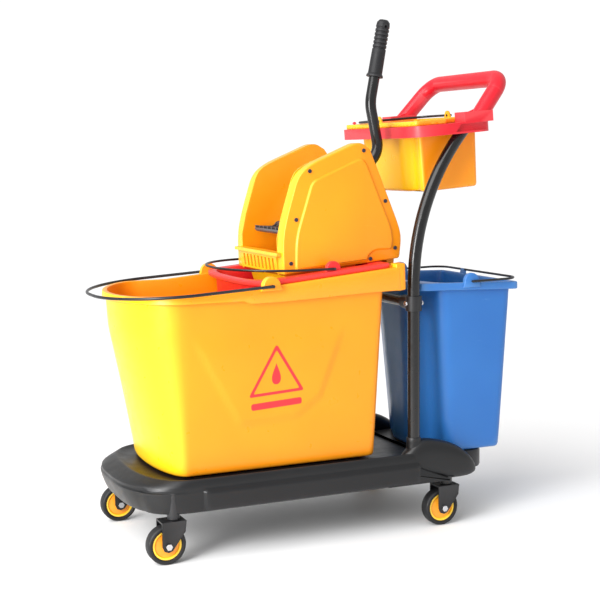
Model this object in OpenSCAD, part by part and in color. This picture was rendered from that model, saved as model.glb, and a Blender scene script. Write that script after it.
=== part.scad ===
// Mop-wringer cleaning cart: a wheeled base with three buckets, a geared wringer and a push handle
// with a tray. +X is the push-handle end, +Y the far side, +Z up; the origin is on the floor below
// the middle of the cart. Millimetres throughout.

/* [Casters] */
// Wheel diameter
wheel_d = 75; // [72:1:78]
// Width of the tyre
tyre_w = 25; // [22:1:26]
// Distance between the front and rear wheel axles
wheelbase = 593; // [585:1:600]
// Distance from the centre line to the middle of each wheel
half_track = 160; // [158:1:161]
// How far each wheel trails behind its swivel axis
trail = 16; // [14:1:18]

/* [Base] */
// Height of the lower edge of the skirt
skirt_z = 95; // [94:1:97]
// Height of the seat that the main bucket stands on
deck_z = 156; // [155:1:157]
// Half the width of the skirt
skirt_half_w = 180; // [178:1:182]
// Length of the rounded nose, from its middle to the lower edge
nose_len = 160; // [155:1:165]

/* [Main bucket] */
// Wall thickness of all the buckets
wall = 3; // [2.5:0.1:3.5]
// Height of the rim at the front
rim_front_z = 505; // [503:1:507]
// Rise of the rim towards the rear, in degrees
rim_tilt = 5.2; // [5:0.1:5.4]
// Half the distance between the bail ears
bail_half_w = 181; // [180:1:182]

/* [Rear bucket] */
// Height of the rear bucket's rim
rear_rim_z = 497; // [494:1:499]
// Half the width of its rim
rear_half_w = 155; // [152:1:156]

/* [Frame] */
// Diameter of the steel poles
pole_d = 25; // [24:0.5:26]
// Half the distance between the poles
pole_half_w = 155; // [154:1:156]
// Radius of the bend in each pole
pole_bend_r = 477; // [470:1:480]
// Tilt of the tray and the caddy, in degrees
tray_tilt = 4.5; // [4.3:0.1:4.7]

/* [Wringer] */
// Module of the gears
gear_module = 4; // [4:1:4]
// Thickness of the gears
gear_w = 6; // [5:0.5:6]
// Diameter of the lever tube
lever_d = 22; // [20:1:22]

/* [Hidden] */
$fn = 48;

// Running gap between parts that turn on each other, and rest gap between parts that sit together
run = 0.05;
rest = 0.4;

// Base and casters
axle_z = wheel_d / 2;
front_axle_x = -342;
rear_axle_x = front_axle_x + wheelbase;
nose_x = -235;
deck_rear_x = 205;
base_wall = 4;
axle_r = 4;
stem_r = 12;
kingpin_r = 6;
fork_top_z = axle_z + 46.5;
pole_x = 193;
pole_r = pole_d / 2;
socket_r = 15;
socket_top_z = 188;
socket_floor_z = 125;
pole_straight_z = 500;
pole_bend_deg = 42;
collar_z = 463;
cross_r = 11;

// Main bucket
corner_x = -300;
bucket_rear_x = 125;
flat_rim_x = -225;
rim_flange_x = 158;
main_ear_x = -126;
main_ear_z = 516;
main_bail_tilt = 3.2;

// Ends of the rear bucket's rim
rear_x0 = 208;
rear_x1 = 446;

// Tray: its own frame starts at the lower front edge
tray_x = 193;
tray_z = 794;
tray_half_w = 177;
tray_len = 180;
tray_h = 22;
opening_half_w = 134;

// Wringer mechanism
wing_z = 612;
front_shaft_x = 5;
wing_teeth = 24;
lever_teeth = 25;
wing_pitch_r = gear_module * wing_teeth / 2;
lever_pitch_r = gear_module * lever_teeth / 2;
rear_shaft_x = front_shaft_x + 2 * wing_pitch_r;
lever_dx = -20;
lever_shaft_x = rear_shaft_x + lever_dx;
lever_shaft_z = wing_z + sqrt(pow(wing_pitch_r + lever_pitch_r, 2) - lever_dx * lever_dx);
shaft_r = 6;
inner_wall_y = 92;
cover_y = 122;
gear_y = -106;
lever_y = -78;

// Height of the sloping rim plane of the main bucket
function rim_z(x) = rim_front_z + max(0, x - flat_rim_x) * tan(rim_tilt);

// Left half of a rounded nose, from the far side round to the near side
function nose(cx, a, b, n) = [for (t = [90:7.5:270])
    [cx - a * pow(abs(cos(t)), 2 / n), b * sign(sin(t)) * pow(abs(sin(t)), 2 / n)]];

// A nose closed by a square rear end
function nose_outline(cx, a, b, n, rear_x) = concat(nose(cx, a, b, n), [[rear_x, -b], [rear_x, b]]);

// Rectangle with round corners, as points
function round_rect(x0, x1, half_w, r) = [for (c = [[x1 - r, half_w - r, 0], [x0 + r, half_w - r, 90],
    [x0 + r, r - half_w, 180], [x1 - r, r - half_w, 270]]) for (t = [0:15:90])
    [c[0] + r * cos(c[2] + t), c[1] + r * sin(c[2] + t)]];

// Points moved towards a centre by a fraction of their distance
function shrink(points, centre, k) = [for (p = points) centre + (p - centre) * k];

module slab(z, points, h = 0.2) {
    translate([0, 0, z]) linear_extrude(h) polygon(points);
}

// Cylinder along Y between two places
module rod_y(x, z, r, y0, y1) {
    translate([x, y0, z]) rotate([-90, 0, 0]) cylinder(r = r, h = y1 - y0);
}

// Profile in the XZ plane, extruded along Y from y0 to y1
module plate_y(points, y0, y1) {
    translate([0, y1, 0]) rotate([90, 0, 0]) linear_extrude(y1 - y0) polygon(points);
}

// ---------------------------------------------------------------- base

module skirt_shape(inset, z_low, z_high, rear_x) {
    b = skirt_half_w - inset;
    low = nose_outline(nose_x, nose_len - inset, b, 3.4, rear_x);
    mid = nose_outline(nose_x, nose_len + 13 - inset, b + 2, 3.2, rear_x);
    top = nose_outline(nose_x, nose_len - 22 - inset, b - 2, 2.8, rear_x);
    hull() {
        slab(z_low, low);
        slab(133, mid);
    }
    hull() {
        slab(133, mid);
        slab(z_high, top);
    }
}

module fender_shape(r, side) {
    hull() {
        for (p = [[198, 166], [250, 156], [286, 143], [312, 122], [316, 116], [200, 116]])
            translate([p[0], side * 157, p[1]]) sphere(r = r, $fn = 24);
    }
}

module base_platform() {
    color([0.2, 0.2, 0.21]) difference() {
        union() {
            difference() {
                skirt_shape(0, skirt_z, 158, deck_rear_x);
                skirt_shape(base_wall, skirt_z - 1, deck_z - base_wall, deck_rear_x - base_wall);
            }
            for (side = [-1, 1]) fender_shape(21, side);
            for (side = [-1, 1]) translate([pole_x, side * pole_half_w, 112])
                cylinder(r = socket_r, h = socket_top_z - 112);
            for (side = [-1, 1]) translate([front_axle_x + trail, side * half_track, 101])
                cylinder(r = stem_r + 3, h = 52);
            difference() {
                translate([0, 0, 100]) linear_extrude(40)
                    polygon(round_rect(deck_rear_x - 30, 385, 134.5, 40));
                translate([0, 0, 99]) linear_extrude(37)
                    polygon(round_rect(deck_rear_x - 26, 381, 130.5, 36));
            }
            for (x = [-300:100:100]) translate([x, 3 - skirt_half_w, 118])
                cube([4, 2 * skirt_half_w - 6, 36]);
        }
        slab(deck_z, nose_outline(-270, 85, 153, 3.2, 140), 10);
        for (side = [-1, 1]) translate([pole_x, side * pole_half_w, socket_floor_z])
            cylinder(r = pole_r + run, h = 100);
        for (side = [-1, 1], x = [front_axle_x + trail, rear_axle_x + trail])
            translate([x, side * half_track, 90]) cylinder(r = stem_r, h = 45);
    }
}

module caster_stems() {
    color([0.1, 0.1, 0.11])
        for (side = [-1, 1], x = [front_axle_x + trail, rear_axle_x + trail])
            translate([x, side * half_track, fork_top_z + 1]) difference() {
                cylinder(r = stem_r - run, h = 135 - fork_top_z - 1);
                translate([0, 0, -1]) cylinder(r = kingpin_r + run, h = 36);
            }
}

// Fork: a bent plate with two legs, and the kingpin riveted into its top
module fork(x, y) {
    leg = [[-12, 44], [-12, 0], [-8, -9], [0, -12], [8, -9], [34, 26], [36, 46.5], [-12, 46.5]];
    color([0.1, 0.1, 0.11]) translate([x, y, axle_z]) difference() {
        union() {
            for (side = [-1, 1]) translate([0, side * 17.5 + 1.5, 0]) rotate([90, 0, 0])
                linear_extrude(3) polygon(leg);
            translate([-12, -19, 43.5]) cube([48, 38, 3]);
            translate([trail, 0, 43.5]) cylinder(r = kingpin_r, h = 36);
        }
        rod_y(0, 0, axle_r + run, -30, 30);
    }
}

module hub(x, y) {
    color([0.98, 0.68, 0.2]) translate([x, y, axle_z]) rotate([-90, 0, 0])
        rotate_extrude($fn = 64) polygon([[axle_r + run, -13], [8, -13], [9, -9], [23, -7], [25, -10],
            [28.4, -10], [28.4, 10], [25, 10], [23, 7], [9, 9], [8, 13], [axle_r + run, 13]]);
}

module tyre(x, y) {
    half = tyre_w / 2;
    color([0.13, 0.13, 0.14]) translate([x, y, axle_z]) rotate([-90, 0, 0])
        rotate_extrude($fn = 72) polygon([[28.5, -10.5], [31, -half], [axle_z - 3, -half],
            [axle_z - 0.8, 2 - half], [axle_z, 5 - half], [axle_z, half - 5], [axle_z - 0.8, half - 2],
            [axle_z - 3, half], [31, half], [28.5, 10.5]]);
}

// Axle bolt with a hexagon head on the near side and a nut on the far side
module axle(x, y) {
    color([0.8, 0.81, 0.83]) {
        rod_y(x, axle_z, axle_r, y - 19.1, y + 19.1);
        translate([x, y - 19.1, axle_z]) rotate([90, 0, 0]) cylinder(r = 6.5, h = 5, $fn = 6);
        translate([x, y + 24.1, axle_z]) rotate([90, 0, 0]) cylinder(r = 6.5, h = 5, $fn = 6);
    }
}

// ---------------------------------------------------------------- frame

module pole(side) {
    color([0.12, 0.12, 0.13]) {
        translate([pole_x, side * pole_half_w, socket_floor_z])
            cylinder(r = pole_r, h = pole_straight_z - socket_floor_z);
        translate([pole_x + pole_bend_r, side * pole_half_w, pole_straight_z]) mirror([1, 0, 0])
            rotate([90, 0, 0]) rotate_extrude(angle = pole_bend_deg, $fn = 96)
                translate([pole_bend_r, 0]) circle(r = pole_r);
    }
}

module cross_tube() {
    reach = pole_half_w - pole_r - 5.5;
    color([0.12, 0.12, 0.13]) difference() {
        rod_y(pole_x, collar_z, cross_r, -reach, reach);
        rod_y(pole_x, collar_z, cross_r - 1.5, -reach - 1, reach + 1);
    }
}

module tee_collars() {
    color([0.09, 0.09, 0.1]) for (side = [-1, 1]) difference() {
        union() {
            translate([pole_x, side * pole_half_w, collar_z - 15]) cylinder(r = pole_r + 4, h = 30);
            rod_y(pole_x, collar_z, cross_r + 3, side < 0 ? -pole_half_w : 118,
                side < 0 ? -118 : pole_half_w);
        }
        translate([pole_x, side * pole_half_w, collar_z - 40]) cylinder(r = pole_r + run, h = 80);
        rod_y(pole_x, collar_z, cross_r + run, side < 0 ? -pole_half_w + pole_r + 5 : 100,
            side < 0 ? -100 : pole_half_w - pole_r - 5);
        rod_x(pole_x - 40, pole_x + 40, side * pole_half_w, collar_z, 2.6);
    }
}

module rod_x(x0, x1, y, z, r) {
    translate([x0, y, z]) rotate([0, 90, 0]) cylinder(r = r, h = x1 - x0);
}

// Clamp screws of the collars: a head in front and a nut behind, each let into the collar only
module collar_bolts() {
    color([0.85, 0.86, 0.88]) for (side = [-1, 1]) {
        rod_x(pole_x - 16.5, pole_x - pole_r - 0.5, side * pole_half_w, collar_z, 2.5);
        rod_x(pole_x - 20.6, pole_x - 16.6, side * pole_half_w, collar_z, 5.5);
        rod_x(pole_x + pole_r + 0.5, pole_x + 16.5, side * pole_half_w, collar_z, 2.5);
        rod_x(pole_x + 16.6, pole_x + 19.6, side * pole_half_w, collar_z, 5.5);
    }
}

// ---------------------------------------------------------------- tray frame, handle and caddy

// Moves the tray's own frame to its place on the cart
module on_tray() {
    translate([tray_x, 0, tray_z]) rotate([0, -tray_tilt, 0]) children();
}

peg_x = 11.5;
peg_y = 126;
arm_r = 17;
arm_y = 160;
arm_bend = 42;
arm_len = 69.3;
arm_foot = [150, 30];
arm_slope = 45.5;
arm_lean = 8.74;
bend_x = arm_len * cos(arm_lean) - arm_bend * sin(arm_lean);
bend_y = arm_len * sin(arm_lean) + arm_bend * cos(arm_lean);

// One handle arm, which leans inwards, with its bend and half of the grip bar
module handle_half(side) {
    mirror([0, side < 0 ? 1 : 0, 0]) translate([arm_foot[0], arm_y, arm_foot[1]])
        rotate([0, -arm_slope, 0]) {
            rotate([0, 0, -arm_lean]) rotate([0, 90, 0]) cylinder(r = arm_r, h = arm_len + 1);
            translate([bend_x, -bend_y, 0]) rotate_extrude(angle = 90 - arm_lean, $fn = 64)
                translate([arm_bend, 0]) circle(r = arm_r + 0.05);
            translate([bend_x + arm_bend, 1 - bend_y, 0]) rotate([90, 0, 0])
                cylinder(r = arm_r, h = arm_y - bend_y + 1);
        }
}

module tray_frame() {
    color([0.9, 0.16, 0.2]) difference() {
        on_tray() union() {
            linear_extrude(tray_h) polygon(round_rect(-6, tray_len, tray_half_w, 42));
            for (side = [-1, 1]) {
                translate([108, side < 0 ? -tray_half_w : 137, 20]) cube([66, 40, 22]);
                handle_half(side);
                plate_y([[128, 40], [174, 40], [176, 56], [168, 52]], side < 0 ? -151 : 145,
                    side < 0 ? -145 : 151);
            }
        }
        on_tray() {
            translate([0, 0, -5]) linear_extrude(40)
                polygon(round_rect(16, tray_len - 9, opening_half_w, 12));
            translate([0, 0, -1]) linear_extrude(18)
                polygon(round_rect(-2, 76, tray_half_w - 4, 38));
            for (side = [-1, 1]) plate_y([[86, 4], [168, 4], [168, 19], [98, 19]],
                side < 0 ? -tray_half_w - 1 : tray_half_w - 7, side < 0 ? 7 - tray_half_w : tray_half_w + 1);
        }
        for (side = [-1, 1]) translate([pole_x + pole_bend_r, side * pole_half_w, pole_straight_z])
            mirror([1, 0, 0]) rotate([90, 0, 0]) rotate([0, 0, pole_bend_deg - 12])
                rotate_extrude(angle = 12.1, $fn = 96) translate([pole_bend_r, 0])
                    circle(r = pole_r + 0.1);
    }
}

module tray_peg() {
    color([0.9, 0.12, 0.16]) on_tray() translate([peg_x, peg_y, tray_h + 0.1]) {
        cylinder(r = 2.5, h = 13);
        translate([0, 0, 11.5]) intersection() {
            sphere(r = 4.4);
            cylinder(r = 5, h = 6);
        }
    }
}

caddy_front = 21;
caddy_rear = 165;
caddy_half_w = 128;
caddy_rim_z = 22.4;
caddy_ear_x = 6;
caddy_ear_h = 13.5;

function caddy_outline(inset, taper) = round_rect(caddy_front + inset + taper, caddy_rear - inset - taper,
    caddy_half_w - inset - taper, 12 - inset);

module caddy() {
    color([1, 0.82, 0.16]) on_tray() difference() {
        union() {
            hull() {
                slab(-112, caddy_outline(0, 3));
                slab(caddy_rim_z + 9, caddy_outline(0, 0));
            }
            translate([0, 0, caddy_rim_z]) linear_extrude(9.5) union() {
                polygon(round_rect(4, 80, 158, 14));
                polygon(round_rect(60, caddy_rear + 7, 132, 8));
            }
            for (x = [caddy_ear_x, caddy_rear + 6]) {
                translate([x, -14, caddy_rim_z]) cube([3, 28, caddy_ear_h]);
                translate([x, 0, caddy_rim_z + caddy_ear_h]) rotate([0, 90, 0]) cylinder(r = 10, h = 3);
            }
        }
        hull() {
            slab(-112 + wall, caddy_outline(wall, 3));
            slab(caddy_rim_z + 12, caddy_outline(wall, 0));
        }
        translate([peg_x, peg_y, 0]) cylinder(r = 5, h = 60);
        translate([-10, 0, caddy_rim_z + caddy_ear_h]) rotate([0, 90, 0])
            cylinder(r = 2.5 + run, h = 220);
    }
}

// Wire bail: two end pins, two legs and a grip bar, lying along +Y from its pins
module wire_bail(half_w, reach, r, bend, pin) {
    for (side = [-1, 1]) {
        translate([side * half_w, 0, 0]) rotate([0, side * 90, 180]) translate([0, 0, -r])
            cylinder(r = r, h = pin + r);
        translate([side * half_w, 0, 0]) sphere(r = r);
        translate([side * half_w, 0, 0]) rotate([-90, 0, 0]) cylinder(r = r, h = reach - bend);
        translate([side * (half_w - bend), reach - bend, 0]) rotate([0, 0, side > 0 ? 0 : 90])
            rotate_extrude(angle = 90, $fn = 64) translate([bend, 0]) circle(r = r);
    }
    translate([bend - half_w, reach, 0]) rotate([0, 90, 0]) cylinder(r = r, h = 2 * (half_w - bend));
}

module caddy_bail() {
    mid = (caddy_ear_x + caddy_rear + 9) / 2;
    half = (caddy_rear + 9 - caddy_ear_x) / 2 + 5;
    color([0.08, 0.08, 0.09]) on_tray() translate([mid, 0, caddy_rim_z + caddy_ear_h])
        wire_bail(half, 110, 2.5, 40, 9.5);
}

// ---------------------------------------------------------------- buckets

// Keeps what lies below the sloping rim plane raised by dz
module below_rim(dz) {
    intersection() {
        children();
        translate([0, 400, 0]) rotate([90, 0, 0]) linear_extrude(800)
            polygon([[-600, 0], [300, 0], [300, rim_z(300) + dz], [flat_rim_x, rim_z(-400) + dz],
                [-600, rim_z(-600) + dz]]);
    }
}

// Keeps what lies above the same plane
module above_rim(dz) {
    intersection() {
        children();
        translate([0, 400, 0]) rotate([90, 0, 0]) linear_extrude(800)
            polygon([[-600, rim_z(-600) + dz], [flat_rim_x, rim_z(-400) + dz], [300, rim_z(300) + dz],
                [300, 1200], [-600, 1200]]);
    }
}

module main_shape(inset, z_low) {
    low = nose_outline(corner_x, 32 - inset, 146 - inset, 1.8, 110 - inset);
    mid = nose_outline(corner_x, 88 - inset, 161 - inset, 1.8, 123 - inset);
    top = nose_outline(corner_x, 94 - inset, 165 - inset, 1.8, bucket_rear_x + 3 - inset);
    hull() {
        slab(z_low, low);
        slab(430, mid);
    }
    hull() {
        slab(430, mid);
        slab(560, top);
    }
}

// Side view of the space that the rim fills: its lower edge steps down at the front of the ears
rim_skirt = [[-600, 489], [-172, 489], [-165, 484], [300, 496], [300, 900], [-600, 900]];

module main_bucket() {
    color([1, 0.83, 0.16]) difference() {
        union() {
            below_rim(0) union() {
                main_shape(0, deck_z + 0.3);
                intersection() {
                    plate_y(rim_skirt, -200, 200);
                    linear_extrude(600) polygon(nose_outline(corner_x, 99, 172, 1.8, rim_flange_x));
                }
            }
            for (side = [-1, 1]) {
                rod_y(main_ear_x, main_ear_z, 18, side < 0 ? -181 : 167, side < 0 ? -167 : 181);
                translate([main_ear_x - 18, side < 0 ? -181 : 167, 488]) cube([36, 14, 28]);
            }
        }
        main_shape(wall, deck_z + 0.3 + wall);
        below_rim(-3) above_rim(-40) difference() {
            linear_extrude(600) polygon(nose_outline(corner_x, 95.5, 168.5, 1.8, rim_flange_x - 3.5));
            linear_extrude(600) polygon(nose_outline(corner_x, 86, 161.5, 1.8, bucket_rear_x - 1.5));
        }
        for (side = [-1, 1]) rod_y(main_ear_x, main_ear_z, 3 + run, side < 0 ? -200 : 166,
            side < 0 ? -166 : 200);
    }
}

// The front of the bail is as far forward as the rear bucket's rim is to the rear
main_bail_reach = (main_ear_x + rear_x1 - 3) / cos(main_bail_tilt);

module main_bail() {
    color([0.08, 0.08, 0.09]) translate([main_ear_x, 0, main_ear_z]) rotate([0, 0, 90])
        rotate([-main_bail_tilt, 0, 0]) wire_bail(184.5, main_bail_reach, 3, 172, 17);
}

dirty_ear_x = 15;
dirty_ear_z = 541;
dirty_floor_z = 345;

module dirty_shape(inset, z_low) {
    low = nose_outline(-110, 20 - inset, 118 - inset, 2.4, 88 - inset);
    top = nose_outline(-110, 38 - inset, 140 - inset, 2.4, 116 - inset);
    hull() {
        slab(z_low, low);
        slab(575, top);
    }
}

module dirty_bucket() {
    color([0.93, 0.2, 0.18]) difference() {
        union() {
            below_rim(10) union() {
                dirty_shape(0, dirty_floor_z);
                above_rim(rest) linear_extrude(600) polygon(nose_outline(-110, 44, 163, 2.6, 136));
            }
            for (side = [-1, 1]) {
                rod_y(dirty_ear_x, dirty_ear_z, 15, side < 0 ? -156 : 146, side < 0 ? -146 : 156);
                translate([dirty_ear_x - 15, side < 0 ? -156 : 146, 530]) cube([30, 10, 10]);
            }
        }
        dirty_shape(wall, dirty_floor_z + wall);
        rod_y(dirty_ear_x, dirty_ear_z, 2.5 + run, -200, 200);
    }
}

module dirty_bail() {
    color([0.08, 0.08, 0.09]) translate([dirty_ear_x, 0, dirty_ear_z]) rotate([0, 0, 90])
        wire_bail(159, 195, 2.5, 147, 12);
}

rear_floor_z = 140.4;
rear_ear_x = 329;
rear_ear_z = 501;

function rear_body(front, half_front, shoulder, half_w, back, inset) = [
    [front + inset, half_front], [front + inset, -half_front], [shoulder + inset / 2, inset - half_w],
    [back - 16, inset - half_w], [back - inset, inset - half_w + 16],
    [back - inset, half_w - inset - 16], [back - 16, half_w - inset], [shoulder + inset / 2, half_w - inset]];

module rear_shape(inset, z_low) {
    hull() {
        slab(z_low, rear_body(246, 30, 290, 131, 418, inset));
        slab(510, rear_body(220, 52, 262, 147, 434, inset));
    }
}

module rear_bucket() {
    rim_cut = [[150, 0], [500, 0], [500, rear_rim_z - 4], [150, rear_rim_z + 6]];
    color([0.22, 0.5, 0.78]) difference() {
        union() {
            intersection() {
                plate_y(rim_cut, -200, 200);
                union() {
                    rear_shape(0, rear_floor_z);
                    translate([0, 0, rear_rim_z - 14]) linear_extrude(40)
                        polygon(round_rect(rear_x0, rear_x1, rear_half_w, 10));
                }
            }
            for (side = [-1, 1]) {
                rod_y(rear_ear_x, rear_ear_z, 17, side < 0 ? -158 : 149, side < 0 ? -149 : 158);
                translate([rear_ear_x - 17, side < 0 ? -158 : 149, 485]) cube([34, 9, 16]);
            }
            translate([rear_x1 - 16, 56, 485]) cube([7, 14, 18]);
        }
        rear_shape(wall, rear_floor_z + wall);
        rod_y(rear_ear_x, rear_ear_z, 2.5 + run, -200, 200);
    }
}

module rear_bail() {
    color([0.08, 0.08, 0.09]) translate([rear_ear_x, 0, rear_ear_z]) rotate([0, 0, -90])
        rotate([1, 0, 0]) wire_bail(161, 113, 2.5, 34, 11);
}

// ---------------------------------------------------------------- wringer

// Outline of the two side housings, seen from the near side
housing = [[-77, rim_z(-77) + 10 + rest], [-79, 599], [-70, 641], [-47, 715], [-40, 728], [-30, 737],
    [-15, 745], [70, 778], [86, 783], [100, 781], [112, 774], [120, 763], [177, 622], [184, 600],
    [184, 592], [179, rim_z(179) + 10 + rest]];
housing_mid = [55, 640];

module wringer_body() {
    shell = [[-82, 572], [-82, 562], [-78, 532], [-60, 524], [-32, 440], [72, 440], [94, 548],
        [112, 562], [163, 562], [163, 487], [175, 487], [181, 560], [186, 592], [178, 622], [172, 636]];
    hollow = [[-74, 600], [-74, 535], [-57, 527], [-29, 443], [69, 443], [91, 551], [111, 566], [166, 566],
        [178, 566], [182, 592], [174, 620], [168, 637], [160, 660]];
    boss = 5;
    color([1, 0.82, 0.18]) difference() {
        union() {
            difference() {
                plate_y(shell, -inner_wall_y - 3, inner_wall_y + 3);
                plate_y(hollow, -inner_wall_y, inner_wall_y);
            }
            for (side = [-1, 1]) {
                plate_y(housing, side < 0 ? -inner_wall_y - 3 : inner_wall_y,
                    side < 0 ? -inner_wall_y : inner_wall_y + 3);
                for (p = screw_places) rod_y(p[0], p[1], boss, side < 0 ? -118.8 : inner_wall_y + 1,
                    side < 0 ? -inner_wall_y - 1 : 118.8);
            }
            plate_y([[-88, 566], [-88, 572.5], [-76, 572.5], [-76, 566]], -94.9, 94.9);
            plate_y([[-88, 566], [-88, 572.5], [-79.2, 572.5], [-79.2, 566]], -113, 113);
        }
        for (i = [-4:4]) translate([-90, i * 19 - 4, 536]) cube([20, 8, 24]);
        for (i = [-3:3], j = [0:4]) translate([-22 + j * 20, i * 24 - 8, 430]) cube([8, 16, 20]);
        for (s = [[front_shaft_x, wing_z], [rear_shaft_x, wing_z], [lever_shaft_x, lever_shaft_z]])
            rod_y(s[0], s[1], 9, -100, s[1] > 650 ? 0 : 100);
        for (p = screw_places, side = [-1, 1])
            rod_y(p[0], p[1], 1.8 + run, side < 0 ? -130 : 100, side < 0 ? -100 : 130);
    }
}

screw_places = [[98, 770], [-20, 731], [-50, 637], [-62, 552], [146, 669], [168, 574], [112, 554]];

module wringer_cover(side) {
    y_out = side * cover_y;
    inner = shrink(housing, housing_mid, 0.976);
    color([1, 0.82, 0.16]) difference() {
        plate_y(housing, side < 0 ? y_out : inner_wall_y + 3 + rest,
            side < 0 ? -inner_wall_y - 3 - rest : y_out);
        plate_y(inner, side < 0 ? y_out + 3 : 0, side < 0 ? 0 : y_out - 3);
        for (p = screw_places) rod_y(p[0], p[1], 2.2, -200, 200);
    }
}

module cover_screws(side) {
    color([0.1, 0.1, 0.12]) for (p = screw_places) {
        rod_y(p[0], p[1], 1.8, side < 0 ? -cover_y : 104, side < 0 ? -104 : cover_y);
        rod_y(p[0], p[1], 4, side < 0 ? -cover_y - 2 : cover_y + 0.1,
            side < 0 ? -cover_y - 0.1 : cover_y + 2);
    }
}

// Flanged plastic bushes pressed into the side walls, one for each shaft end
module shaft_bushes() {
    places = [[front_shaft_x, wing_z, -1], [front_shaft_x, wing_z, 1], [rear_shaft_x, wing_z, -1],
        [rear_shaft_x, wing_z, 1], [lever_shaft_x, lever_shaft_z, -1]];
    color([0.2, 0.2, 0.22]) for (p = places) difference() {
        union() {
            rod_y(p[0], p[1], 8.95, p[2] < 0 ? -99 : inner_wall_y - 1, p[2] < 0 ? 1 - inner_wall_y : 99);
            rod_y(p[0], p[1], 12, p[2] < 0 ? 0.1 - inner_wall_y : inner_wall_y - 2.1,
                p[2] < 0 ? 2.1 - inner_wall_y : inner_wall_y - 0.1);
        }
        rod_y(p[0], p[1], shaft_r + run, -130, 130);
    }
}

// Point on the involute of a base circle at roll angle t
function involute(rb, t) = [rb * (cos(t) + t * PI / 180 * sin(t)), rb * (sin(t) - t * PI / 180 * cos(t))];

function turned(p, a) = [p[0] * cos(a) - p[1] * sin(a), p[0] * sin(a) + p[1] * cos(a)];

// Spur gear outline: teeth centred on angle 0 plus whole pitches, with some backlash
function gear_points(teeth) = let (
    rp = gear_module * teeth / 2,
    rb = rp * cos(20),
    ro = rp + 0.92 * gear_module,
    rr = rp - 1.15 * gear_module,
    t_pitch = sqrt(pow(rp / rb, 2) - 1) * 180 / PI,
    t_out = sqrt(pow(ro / rb, 2) - 1) * 180 / PI,
    at_pitch = t_pitch - 20,
    half = 90 / teeth - 0.16,
    flank = [for (i = [0:4]) involute(rb, t_out * i / 4)])
    [for (k = [0:teeth - 1]) each concat(
        [turned([rr, 0], k * 360 / teeth - half - at_pitch)],
        [for (p = flank) turned(p, k * 360 / teeth - half - at_pitch)],
        [for (i = [4:-1:0]) turned([flank[i][0], -flank[i][1]], k * 360 / teeth + half + at_pitch)],
        [turned([rr, 0], k * 360 / teeth + half + at_pitch)])];

// Gear standing in the XZ plane; phase turns its teeth from +X towards +Z
module gear(x, z, teeth, phase) {
    color([0.75, 0.76, 0.78]) translate([x, gear_y + gear_w, z]) rotate([90, 0, 0])
        rotate([0, 0, phase]) linear_extrude(gear_w) difference() {
            polygon(gear_points(teeth));
            circle(r = shaft_r + run);
        }
}

wing_pitch_deg = 360 / wing_teeth;
mesh_deg = atan2(lever_shaft_z - wing_z, lever_dx);
rear_offset = wing_pitch_deg * round(mesh_deg / wing_pitch_deg) - mesh_deg;
lever_phase = mesh_deg + 180 - rear_offset * wing_teeth / lever_teeth + 180 / lever_teeth;

module shaft(x, z, y0, y1) {
    color([0.72, 0.73, 0.75]) rod_y(x, z, shaft_r, y0, y1);
}

// Press wing: a hub on the shaft and a plate with upstanding ribs, reaching away from the hub
module wing(x, dir, reach) {
    half = inner_wall_y - 26;
    plate = [[0, -11], [(reach - 4) * dir, -7], [reach * dir, -3], [reach * dir, 1],
        [10 * dir, -2], [0, 0]];
    rib = [[0, -4], [(reach - 2) * dir, -4], [reach * dir, 6], [(reach - 14) * dir, 4],
        [22 * dir, 3], [0, 13]];
    y_mid = 14;
    color([0.24, 0.25, 0.27]) translate([x, y_mid, wing_z]) difference() {
        union() {
            rod_y(0, 0, 13, -half, half);
            plate_y(plate, -half, half);
            for (i = [-3:3]) plate_y(rib, i * (half - 2) / 3 - 2, i * (half - 2) / 3 + 2);
        }
        rod_y(0, 0, shaft_r + run, -half - 1, half + 1);
    }
}

// ---------------------------------------------------------------- lever

lever_r = lever_d / 2;
lever_heads = [36, 101.8, 79];
low_arc = [42, 66];
high_arc_r = 80;
grip_start = 38;

// Places along the lever, in the plane of its bends
low_centre = [lever_shaft_x + low_arc[1] * cos(lever_heads[0]) - low_arc[0] * sin(lever_heads[0]),
    lever_shaft_z + low_arc[1] * sin(lever_heads[0]) + low_arc[0] * cos(lever_heads[0])];
low_end = low_centre + low_arc[0] * [sin(lever_heads[1]), -cos(lever_heads[1])];
middle_len = 60;
high_start = low_end + middle_len * [cos(lever_heads[1]), sin(lever_heads[1])];
high_centre = high_start + high_arc_r * [sin(lever_heads[1]), -cos(lever_heads[1])];
high_end = high_centre - high_arc_r * [sin(lever_heads[2]), -cos(lever_heads[2])];
grip_end = high_end + (grip_start + 115) * [cos(lever_heads[2]), sin(lever_heads[2])];

// Straight tube in the lever's plane from p, heading a degrees up from +X
module lever_straight(p, a, len, r) {
    translate([p[0], lever_y, p[1]]) rotate([0, 90 - a, 0]) cylinder(r = r, h = len);
}

// Bend in the lever's plane round centre c, from angle a0 over sweep degrees; the straight lengths run
// 1 mm into it
module lever_bend(c, bend_r, a0, sweep) {
    translate([c[0], lever_y, c[1]]) rotate([90, 0, 0]) rotate([0, 0, a0])
        rotate_extrude(angle = sweep, $fn = 64) translate([bend_r, 0]) circle(r = lever_r + 0.05);
}

module lever_tube() {
    h = lever_heads;
    color([0.1, 0.1, 0.11]) difference() {
        union() {
            rod_y(lever_shaft_x, lever_shaft_z, 15, lever_y - 11, lever_y + 11);
            lever_straight([lever_shaft_x, lever_shaft_z], h[0], low_arc[1] + 1, lever_r);
            lever_bend(low_centre, low_arc[0], h[0] - 90, h[1] - h[0]);
            lever_straight(low_end - [cos(h[1]), sin(h[1])], h[1], middle_len + 2, lever_r);
            lever_bend(high_centre, high_arc_r, h[2] + 90, h[1] - h[2]);
            lever_straight(high_end - [cos(h[2]), sin(h[2])], h[2], grip_start + 61, lever_r);
        }
        rod_y(lever_shaft_x, lever_shaft_z, shaft_r + run, lever_y - 20, lever_y + 20);
    }
}

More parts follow.
